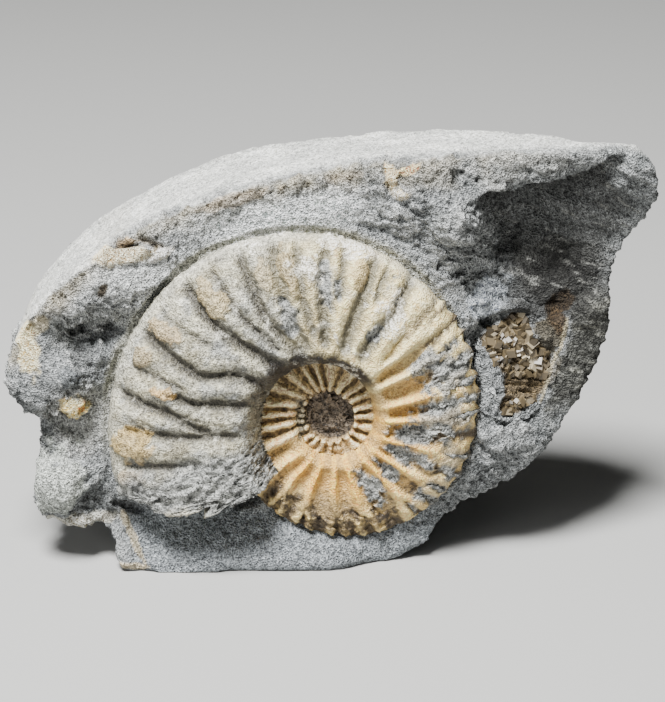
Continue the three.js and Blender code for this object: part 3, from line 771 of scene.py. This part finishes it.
tint = layered(len(at), [
    (0.6 * late * ramp(0.1, 0.5, dirty), "#7d755c"),
    (0.5 * late * ramp(-0.15, -0.5, dirty), "#84888a"),
    # Furrows of the late part darkened: dirt and painted shade.
    (0.97 * late * ramp(0.75, 0.05, crest), "#47443b"),
    (0.92 * over_top * ramp(0.9, 0.15, crest), "#625e50"),
    (0.55 * early * ramp(0.65, 0.1, crest) * ramp(0.8, 0.65, flank), "#a0845a"),
    (0.97 * early * outer_dirt_and_shade, "#463a2a"),
    (0.6 * ramp(1.2, 0.5, spot(polar, -90, 64, 16, 22, 0) + 0.6 * ragged), "#75664e"),
    (0.7 * inner * ramp(0.4, 0.9, crest + 0.25 * uneven), "#ecd9ae"),
    # Painted shade on the inner whorl: its upper half is darkened under the last whorl's shoulder, and its
    # rib gaps hold dirt and painted shade.
    (0.4 * inner * ramp(-2, 6, at[:, 1]), "#8f8668"),
    (0.9 * inner * ramp(0.38, 0.0, crest + 0.2 * uneven), "#54432b"),
    (0.6 * inner * ramp(0.3, 0.55, cloudy(at, 2.6, 3, 28)) * ramp(0.95, 0.6, crest), "#54432c"),
    (0.88 * low_rim * ramp(0.5, -0.3, uneven), "#66573f"),
    (0.9 * low_rim * ramp(0.0, 0.35, cloudy(at, 1.8, 3, 29)) * ramp(0.95, 0.7, crest), "#382e22"),
    (0.7 * ramp(0.93, 0.99, flank) * (1 - inner) * ramp(40, 60, degrees), "#a9a799"),
    (wall_dirt_and_shade * (0.2 + 0.8 * ramp(34, 52, degrees) * ramp(205, 125, degrees)), "#26211a"),
    (0.4 * scaly * ramp(0.0, 0.5, ragged), "#e4e1d2"),
    (0.5 * scaly * ramp(0.0, -0.5, ragged), "#6a685e"),
])
stuck = np.zeros(len(at))
for name, *place, colour in LEFT_ON:
    share = (1 - inner) * ramp(1.06, 0.94, spot(polar, *place, 0) + 0.55 * ragged)
    stuck = np.maximum(stuck, share)
    tint = over(tint, (0.75 + 0.2 * ragged) * share, colour)
sandy = inner * (1 - core) * ramp(1.1, 0.7, spot(at, -0.5, -7.0, 6.5, 2.4, 0) + 0.4 * ragged)
tint = over(tint, 0.9 * sandy, "#b59a6e")
tint = over(tint, ramp(1.1, 0.8, spot(at, -5.4, 0.4, 1.1, 4.2, 0) + 0.4 * ragged) * 0.8, "#5e5a4c")
crystals = ramp(1.1, 0.7, spot(at, -28.6, -19.4, 5.5, 3.2, 0) + 0.3 * ragged)
tint = over(tint, 0.75 * crystals, "#bdb7a3")
bare *= 1 - crystals
crumbs = ramp(48, 60, degrees) * ramp(122, 108, degrees) * (1 - inner)
crumbs *= ramp(0.25, 0.5, patchy + 0.5 * ragged)
grain = 0.06 * cloudy(at, 1.0, 2, 13)
chips = chipped(at, 2.4, 14)
streaky = np.stack([at[:, 0] * 0.5 + at[:, 1] * 0.3, at[:, 1] - 0.6 * at[:, 0], at[:, 2]], axis=1)
lift = grain - cut + (0.5 + 0.25 * ragged) * stuck + 0.4 * scaly * chips
lift += bare * (0.6 * chips + 0.6 * cloudy(streaky, 1.3, 3, 15) - 0.25 + (1 - past_rule) * (1 - crest))
lift += 1.1 * early * ramp(-45, -20, degrees) * ramp(0.5, 0.7, flank) * (1 - crest)
lift += crumbs * (0.2 + 0.35 * chipped(at, 1.6, 16)) + sandy * 0.4 * cloudy(at, 1.0, 2, 20)
lift += core * (0.8 * chipped(at, 1.7, 21) - 1.4) + 0.3 * np.exp(-(((from_middle - 5.5) / 0.35) ** 2))
lift += low_rim * (0.5 * chipped(at, 1.5, 30) + 0.25 * uneven)
lift += ramp(46, 110, degrees) * (1 - bare) * (0.2 * cloudy(at, 1.2, 3, 17) + 0.2 * chipped(at, 1.9, 18))
worn_crests = inner * (1 - core) * (0.25 * uneven + 0.55 * (crest - 0.7))
lift += crystals * (0.9 * chipped(at, 2.2, 22) + 0.5) + worn_crests
lift *= 1 - ramp(0.0, 0.3, kept(ammonite.data, "behind"))
at = at + facing * lift[:, None]
angle = np.arctan2(at[:, 1], at[:, 0])
at[:, :2] *= (1 + STRETCH * np.cos(2 * (angle - STRETCH_ANGLE)))[:, None]
set_vertices(ammonite.data, from_face_view(leaned(at)))
honey = ramp(48, 5, degrees + 8 * patchy)
honey *= 1 - 0.6 * (1 - inner) * ramp(0.35, 0.85, flank + 0.15 * patchy)
honey *= 1 - 0.45 * inner
cream = (1 - inner) * ramp(112, 88, degrees + 14 * patchy + 10 * (crest - 0.5))
keep(ammonite.data, honey=honey, core=core, cream=cream, bare=bare, crumbs=crumbs, tint=tint)
ammonite.data.shade_smooth()

# Calcite after shell: waxy, a little glossy. Grey-olive near the mouth, ivory over the top,
# honey round the umbilicus; furrows are darker than the crests, with dirt and painted shade in them.
tree, shown = empty_tree(shell_calcite)
_, cloud, speck = grain_of(tree, 240, 1300, 0.5)  # clouds of 4 mm, crumbs of 0.8 mm
creamy, golden, flaked, crumbly, middle = (
    add(tree, ATTRIBUTE, out="Fac", attribute_name=name)
    for name in ("cream", "honey", "bare", "crumbs", "core")
)
CLOUDED = (("#86847a", "#bbb69d"), ("#cdb87c", "#f0e2ae"), ("#d29c42", "#f8ca6c"), ("#626361", "#9b9c97"))
colour, ivory, amber, filling = (
    add(tree, MIX, {"Factor": cloud, BASE: rgb(dull), LAID: rgb(bright)}, **BLENDED)
    for dull, bright in CLOUDED
)
marks = add(tree, ATTRIBUTE, attribute_name="tint")
covered = marks.node.outputs["Alpha"]
crumbly = add(tree, MATH, {0: crumbly, 1: speck}, **TIMES)
for share, laid in ((creamy, ivory), (golden, amber), (covered, marks), (flaked, filling),
                    (crumbly, rgb("#e9e4d4"))):
    colour = add(tree, MIX, {"Factor": share, BASE: colour, LAID: laid}, **BLENDED)
salt = add(tree, MIX, {"Factor": speck, BASE: rgb("#4a4a4a"), LAID: rgb("#ffffff")}, **BLENDED)
peppered = add(tree, RANGE, {"Value": creamy, "To Min": 0.8, "To Max": 0.45})
peppered = add(tree, MATH, {0: peppered, 1: flaked}, operation="MAXIMUM")
colour = add(tree, MIX, {"Factor": peppered, BASE: colour, LAID: salt}, blend_type="OVERLAY", **BLENDED)
spar = add(tree, MIX, {"Factor": speck, BASE: rgb("#15100c"), LAID: rgb("#8f7f6b")}, **BLENDED)
colour = add(tree, MIX, {"Factor": middle, BASE: colour, LAID: spar}, **BLENDED)
bumps = add(tree, BUMP, {"Height": speck, "Strength": 0.8, "Distance": 0.0004})
surface = add(tree, SURFACE, {"Base Color": colour, "Roughness": 0.5, "Normal": bumps})
tree.links.new(surface, shown)
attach(ammonite, "root")
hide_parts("ammonite")

# Calcite crust: small blunt rhombs of honey-brown spar that grew over the hollow beside the
# shell. They stand at all angles on the stone, so a tree scatters them over their bed.
CRYSTALS = {"Spacing": 0.00055, "Smallest": 0.0006, "Largest": 0.0017}  # metres
BARE_FROM, BARE_TO = 0.0336, 0.0376  # heights in metres between which the banded bed is bare
face_of_bed = within(face_view(vertices_of(nodule.data)), BED) > 0.4
work = bmesh.new()
work.from_mesh(nodule.data)
work.verts.ensure_lookup_table()
off_bed = [
    v
    for v in work.verts
    if not face_of_bed[v.index] or v.normal.y >= 0.2 or BARE_FROM <= v.co.z <= BARE_TO
]
bmesh.ops.delete(work, geom=off_bed, context="VERTS")
bed = bpy.data.meshes.new("bed of the crystals")
work.to_mesh(bed)
work.free()
bed.materials.clear()
scatter, given = new_tree("spar crystals", {"Geometry": ("Geometry",), "Float": CRYSTALS})
points = add(scatter, "GeometryNodeDistributePointsOnFaces",
             {"Mesh": given["Geometry"], "Distance Min": given["Spacing"], "Density Max": 3e6, "Seed": 4},
             distribute_method="POISSON")
cube = add(scatter, "GeometryNodeMeshCube", {"Size": (1.0, 1.0, 1.0)})
corner = add(scatter, "ShaderNodeSeparateXYZ", {0: add(scatter, "GeometryNodeInputPosition")}).node.outputs
skew = add(scatter, "ShaderNodeCombineXYZ", {"X": corner["Y"], "Y": corner["Z"]})
skew = add(scatter, "ShaderNodeVectorMath", {0: skew, "Scale": 0.3}, operation="SCALE")
rhomb = add(scatter, "GeometryNodeSetPosition", {"Geometry": cube, "Offset": skew})
RANDOM = "FunctionNodeRandomValue"
tilt = add(scatter, RANDOM, {"Min": (-0.7, -0.7, -3.14), "Max": (0.7, 0.7, 3.14), "Seed": 5},
           data_type="FLOAT_VECTOR")
standing = points.node.outputs["Rotation"]
turned = add(scatter, "FunctionNodeRotateRotation", {"Rotation": standing, "Rotate By": tilt},
             rotation_space="LOCAL")
sized = add(scatter, RANDOM, {2: given["Smallest"], 3: given["Largest"], "Seed": 6}, 1, data_type="FLOAT")
stones = add(scatter, "GeometryNodeInstanceOnPoints",
             {"Points": points, "Instance": rhomb, "Rotation": turned, "Scale": sized})
clear = add(scatter, RANDOM, {2: 0.0, 3: 1.0, "Seed": 7}, 1, data_type="FLOAT")
stones = add(scatter, "GeometryNodeStoreNamedAttribute",
             {"Geometry": stones, "Name": "clear", "Value": clear}, data_type="FLOAT", domain="INSTANCE")
spar_calcite = bpy.data.materials.new("Calcite spar")
close_tree(scatter, stones, spar_calcite)
crust = put_in_scene("calcite_crystals", bed)
crust.data = grown(crust, scatter, CRYSTALS)
crust.data.shade_flat()

# Spar: glassy, with flat faces that glint. Most is brown and clear; some crystals are milky.
tree, shown = empty_tree(spar_calcite)
place = add(tree, "ShaderNodeTexCoord", out="Object")
veil = add(tree, NOISE, {"Vector": place, "Scale": 700, "Detail": 3})  # 1.4 mm
clear = add(tree, ATTRIBUTE, out="Fac", attribute_name="clear")
brown = add(tree, MIX, {"Factor": veil, BASE: rgb("#443b2c"), LAID: rgb("#75664a")}, **BLENDED)
deep = add(tree, RANGE, {"Value": clear, "From Max": 0.6})
brown = add(tree, MIX, {"Factor": deep, BASE: rgb("#2f281c"), LAID: brown}, **BLENDED)
milky = add(tree, RANGE, {"Value": clear, "From Min": 0.8})
colour = add(tree, MIX, {"Factor": milky, BASE: brown, LAID: rgb("#9f947c")}, **BLENDED)
surface = add(tree, SURFACE, {"Base Color": colour, "Roughness": 0.42, "IOR": 1.58})
tree.links.new(surface, shown)
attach(crust, "root")
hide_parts("calcite_crust")

# Floor, light and camera: a plain pale paper sheet, under one soft light from above and a weak one
# from the left. The camera looks down a little on the broken face.
bpy.ops.mesh.primitive_plane_add(size=6, location=(0, 0, 0))
floor = bpy.context.object
floor.name = "floor"
paper = bpy.data.materials.new("Matt paper")
paper.use_nodes = True
sheet = paper.node_tree.nodes["Principled BSDF"].inputs
sheet["Base Color"].default_value = rgb("#9d9d9b")
sheet["Roughness"].default_value = 0.95
floor.data.materials.append(paper)

world = bpy.data.worlds.new("soft room")
world.use_nodes = True
room = world.node_tree.nodes["Background"].inputs
room["Color"].default_value = rgb("#e6e6e6")
room["Strength"].default_value = 0.06
bpy.context.scene.world = world

AIM = (0, 0, 0.04)  # metres; the middle of the stone


def soft_light(name, place, size, watts):
    lamp = bpy.data.lights.new(name, "AREA")
    lamp.size = size
    lamp.energy = watts
    obj = put_in_scene(name, lamp)
    obj.location = place
    obj.rotation_euler = (Vector(AIM) - Vector(place)).to_track_quat("-Z", "Y").to_euler()


soft_light("overhead softbox", (-0.16, -0.26, 0.8), 0.26, 30)
soft_light("side fill", (-0.6, -0.6, 0.35), 0.5, 2.6)

ELEVATION = math.radians(22)
DISTANCE, WIDTH_SEEN, RAISED = 0.48, 0.133, 0.0138  # metres
SENSOR_MM = 36
LOOKED_AT = Vector((0.0009, -0.002, 0.031))
forward = Vector((0, math.cos(ELEVATION), -math.sin(ELEVATION)))
upward = Vector((0, math.sin(ELEVATION), math.cos(ELEVATION)))
lens = bpy.data.cameras.new("camera")
lens.sensor_fit = "HORIZONTAL"
lens.sensor_width = SENSOR_MM
lens.lens = SENSOR_MM * DISTANCE / WIDTH_SEEN
lens.clip_start = 0.01
camera = put_in_scene("camera", lens)
camera.location = LOOKED_AT - DISTANCE * forward + RAISED * upward
camera.rotation_euler = forward.to_track_quat("-Z", "Y").to_euler()
bpy.context.scene.camera = camera
